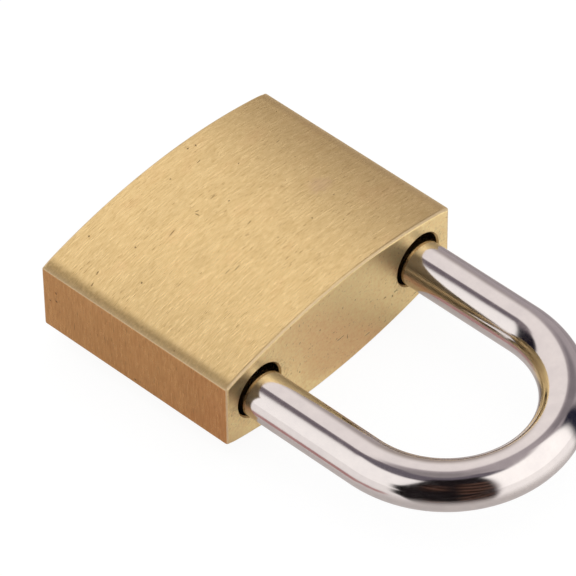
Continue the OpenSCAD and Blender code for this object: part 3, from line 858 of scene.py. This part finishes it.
def make_floor():
    """A white glossy floor that keeps the lock's soft shadow."""
    reach = 20000
    floor = mesh_object("floor", [(-reach, -reach, 0), (reach, -reach, 0), (reach, reach, 0),
                                  (-reach, reach, 0)], [(0, 1, 2, 3)])
    material, tree = new_material("white_glossy_floor")

    # What the eye sees: white, with the lock's shadow in the matt part
    seen = add(tree, "ShaderNodeAddShader", {
        0: add(tree, "ShaderNodeBsdfDiffuse", {"Color": (0.12, 0.12, 0.12, 1)}),
        1: add(tree, "ShaderNodeEmission", {"Color": (1, 1, 1, 1), "Strength": 0.91})})
    plain = add(tree, "ShaderNodeBsdfDiffuse", {"Color": (0.8, 0.8, 0.8, 1)})

    # What the metal sees: close by, a greyer floor, dimmed as painted shade besides the lock's
    # real shadow in its matt part, a painted warm glow, and further off the tent mirrored in the
    # floor's gloss
    close = add(tree, "ShaderNodeAddShader", {
        0: add(tree, "ShaderNodeBsdfDiffuse", {"Color": (0.418, 0.392, 0.383, 1)}),
        1: add(tree, "ShaderNodeEmission", {"Color": (0.313, 0.291, 0.287, 1)})})
    slant = add(tree, "ShaderNodeLayerWeight", {"Blend": 0.5}, out="Facing")
    place = surface_mm(tree)
    waver = add(tree, "ShaderNodeTexNoise", {
        "Vector": add(tree, "ShaderNodeMapping", {"Vector": place, "Scale": cells(5, 5, 5)}),
        "Scale": 1.0})
    line = add(tree, "ShaderNodeMath", {0: slant, 1: GLOW_SLANT, 2: GLOW_SPREAD},
               operation="COMPARE")
    glow = add(tree, "ShaderNodeMath", {0: line, 1: near_marks(tree, place, FLOOR_GLOWS, waver)},
               operation="MULTIPLY")
    # The painted glow's colour, for light thrown back by the brass
    warm = add(tree, "ShaderNodeEmission", {"Color": (0.50, 0.28, 0.27, 1)})
    far = add(tree, "ShaderNodeMapRange", {"Value": slant, "From Min": 0.12, "From Max": 0.66},
              interpolation_type="SMOOTHSTEP")
    mirror = add(tree, "ShaderNodeBsdfGlossy", {
        "Color": (0.863, 0.854, 0.854, 1), "Roughness": 0.02})
    mirrored = add(tree, "ShaderNodeMixShader", {0: far, 1: close, 2: mirror})
    mirrored = add(tree, "ShaderNodeMixShader", {0: glow, 1: mirrored, 2: warm})

    camera_ray = add(tree, "ShaderNodeLightPath", out="Is Camera Ray")
    rays = camera_ray.node.outputs
    direct = add(tree, "ShaderNodeMath", {0: camera_ray, 1: rays["Is Transmission Ray"]},
                 operation="MAXIMUM")
    shown = add(tree, "ShaderNodeMixShader", {0: direct, 1: plain, 2: seen})
    shown = add(tree, "ShaderNodeMixShader", {0: rays["Is Glossy Ray"], 1: shown, 2: mirrored})
    add(tree, "ShaderNodeOutputMaterial", {"Surface": shown})
    floor.data.materials.append(material)


def make_world():
    """Plain white light from all round."""
    world = bpy.data.worlds.new("studio")
    world.use_nodes = True
    bpy.context.scene.world = world
    background = world.node_tree.nodes["Background"]
    background.inputs["Color"].default_value = (1, 1, 1, 1)
    background.inputs["Strength"].default_value = 1.0


def make_camera():
    """A long lens, high over the corner between the long leg's side and the shackle."""
    place = mm(325.561, 289.275, 479.015)
    forward = Vector((-0.504058, -0.463817, -0.728560)).normalized()
    down = Vector((0.544974, 0.483615, -0.684923))
    right = Vector((-0.670022, 0.742287, -0.008998))
    data = bpy.data.cameras.new("camera")
    data.sensor_width = 36
    data.lens = 334.8
    data.clip_start = 0.01
    data.clip_end = 100
    camera = bpy.data.objects.new("camera", data)
    turn = Matrix((right, -down, -forward)).transposed()
    camera.matrix_world = Matrix.Translation(place) @ turn.to_4x4()
    bpy.context.scene.collection.objects.link(camera)
    bpy.context.scene.camera = camera


# ---------------------------------------------------------------- marks of use, painted shade

# Each mark is its middle and its half size along x, y and z in millimetres, and its turn about z.
# The half size of 1 takes a nick right through its surface
FACE_NICKS = (
    ((-4.5, -30.7, 15.2), (0.16, 0.14, 1), 0), ((-3.8, -28.2, 15.3), (0.35, 0.06, 1), 10),
    ((2.6, -22.6, 15.3), (0.3, 0.07, 1), -25), ((3.0, -22.2, 15.3), (0.07, 0.3, 1), 10),
    ((-1.2, -20.9, 15.4), (0.13, 0.1, 1), 0), ((-0.5, -22.8, 15.4), (0.5, 0.05, 1), 6),
    ((7.0, -22.6, 15.1), (0.7, 0.06, 1), 8), ((13.5, -30.3, 14.1), (0.13, 0.13, 1), 0),
    ((11.4, -24.6, 14.5), (0.16, 0.12, 1), 0), ((16.8, -25.8, 13.5), (0.28, 0.08, 1), 15),
    ((18.3, -25.2, 13.1), (0.3, 0.09, 1), 10), ((6.2, -12.8, 15.1), (0.7, 0.05, 1), 8),
    ((7.4, -13.3, 15.0), (0.5, 0.05, 1), 4), ((-0.1, -16.6, 15.4), (0.4, 0.05, 1), 6),
    ((-5.9, -11.6, 15.1), (0.11, 0.11, 1), 0), ((-13.6, -24.1, 14.1), (0.4, 0.06, 1), 12))
FACE_STAINS = (((-11.1, -15.0, 14.6), (2.0, 1.3, 1.5), 0),)
SIDE_NICKS = (
    ((20, -29.8, 9.6), (1, 0.16, 0.22), 0), ((20, -30.9, 7.7), (1, 0.15, 0.16), 0),
    ((20, -29.8, 8.2), (1, 0.2, 0.15), 0), ((20, -29.3, 6.7), (1, 0.1, 0.1), 0),
    ((20, -17.0, 3.6), (1, 0.2, 0.14), 0), ((-20, -28.5, 5.2), (1, 0.18, 0.15), 0))
END_NICKS = (
    ((-10.2, -2, 5.7), (0.3, 1, 0.14), 0), ((-9.6, -2, 5.3), (0.12, 1, 0.2), 0),
    ((-8.2, -2, 6.1), (0.25, 1, 0.1), 0), ((-0.1, -2, 5.4), (0.7, 1, 0.07), 0),
    ((-1.4, -2, 4.7), (0.08, 1, 0.4), 0), ((-13.8, -2, 2.5), (0.4, 1, 0.08), 0),
    ((3.5, -2, 9.8), (0.12, 1, 0.12), 0), ((-2.8, -2, 10.0), (0.1, 1, 0.1), 0),
    ((7.2, -2, 5.4), (0.1, 1, 0.15), 0), ((-5.0, -2, 2.2), (0.5, 1, 0.08), 0))
# Painted shade, brown, round the two holes where the shackle's legs go in, most on the sides away
# from the middle
END_HOLE_SHADE = (
    ((LEG_X + 3.6, -2, HOLE_Z + 3.0), (2.4, 1, 4.4), 0), ((LEG_X, -2, HOLE_Z), (4.6, 1, 4.6), 0),
    ((-LEG_X, -2, HOLE_Z), (4.4, 1, 4.4), 0))


# ---------------------------------------------------------------- the lock

# Solid brass, brushed across its width on a 180-grit belt: a satin gold with short strokes, whose
# shine stretches across them. The belt's scratches are 0.05 mm wide; they are drawn 0.17 mm wide
# and 1.6 mm long, so that they show
faces_brass = ground_brass(
    "belt_brushed_brass", "#D4B67B", "#F2D79F", (1.6, 0.17, 1.6), (0.24, 0.36), tangent="X",
    marks=FACE_NICKS, stain_and_shade_patches=FACE_STAINS, stain_and_shade_colour="#E6C4A4", stain_and_shade_depth=(0.1, 0.3), rim_shade=0.5)
# The narrow sides, ground flat on a stone, with streaks across the thickness. Their redder and
# darker colour is painted shade, for the dim, warm floor beside them that they reflect. A stone's
# scratches are 0.1 mm wide, and are drawn 0.3 mm wide
sides_brass = ground_brass(
    "stone_ground_brass_painted_shade", "#C1894F", "#D8A467", (1.4, 0.3, 2.5), (0.24, 0.36), tangent="Z",
    marks=SIDE_NICKS)
# The two ends, milled and then tumbled: more matt, with small even specks about 0.2 mm wide,
# drawn 0.6 mm wide so that they show. They are painted paler than the brass, as painted light
# that makes up for the dim floor they reflect
ends_brass = ground_brass(
    "milled_brass_painted_light", "#F7D79A", "#FFEAAF", (0.62, 0.62, 0.53), (0.36, 0.46), marks=END_NICKS,
    stain_and_shade_patches=END_HOLE_SHADE, stain_and_shade_depth=(0.12, 0.34))
# Free-cutting brass off the lathe, bright with rings that the tool leaves every 0.1 mm, drawn
# 0.2 mm apart so that they show
turned_brass = worked_metal("turned_brass", "#B8935A", "#D9BC82", (0.67, 0.2, 0.67), (0.22, 0.38))
# The pins' brass comes from an automatic lathe with a finer feed
pin_brass = worked_metal("turned_pin_brass", "#B68F52", "#DDBB78", (0.83, 0.15, 0.83), (0.2, 0.34))
# Hardened tool steel, ground along its length: dull grey with lines 0.1 mm apart, drawn 0.25 mm
tool_steel = worked_metal("ground_tool_steel", "#7E8084", "#A3A5A8", (0.25, 1, 0.25), (0.22, 0.4))
# Steel wire cut to length for the two retaining pins: the same grey with a cropped, rougher end
pin_steel = worked_metal("cropped_steel_wire", "#86888B", "#B2B3B5", (0.33, 0.33, 1), (0.25, 0.42))
# Hard-drawn spring wire: dark and even, with die lines drawn 0.3 mm wide so that they show
spring_steel = worked_metal("drawn_spring_wire", "#6A6D72", "#9A9DA2", (0.3, 0.3, 0.3), (0.2, 0.35))

make_case((faces_brass, sides_brass, ends_brass), turned_brass)
make_shackle(chrome_plate())
# The plugs set into a narrow side take its painted shade too
for node in ("cross_bore_plug", "chamber_plugs"):
    dress(node, sides_brass)
for node in ("plug", "spring_cap"):
    dress(node, turned_brass)
for node in ("cam", "latch_long_side", "latch_short_side"):
    dress(node, tool_steel)
for node in ("shackle_pin", "plug_pin"):
    dress(node, pin_steel)
make_spring("shackle_spring", Y, centre_of("spring_cap")[0], SHACKLE_WIRE_R, SHACKLE_SPRING_TURNS,
            spring_steel)
for i in PIN_STACKS:
    dress(f"key_pin_{i}", pin_brass)
    dress(f"driver_pin_{i}", pin_brass)
    make_spring(f"pin_spring_{i}", X, centre_of(f"driver_pin_{i}")[0], PIN_WIRE_R,
                PIN_SPRING_TURNS, spring_steel)

make_tent()
make_floor()
make_world()
make_camera()
bpy.context.scene.view_settings.view_transform = "Standard"
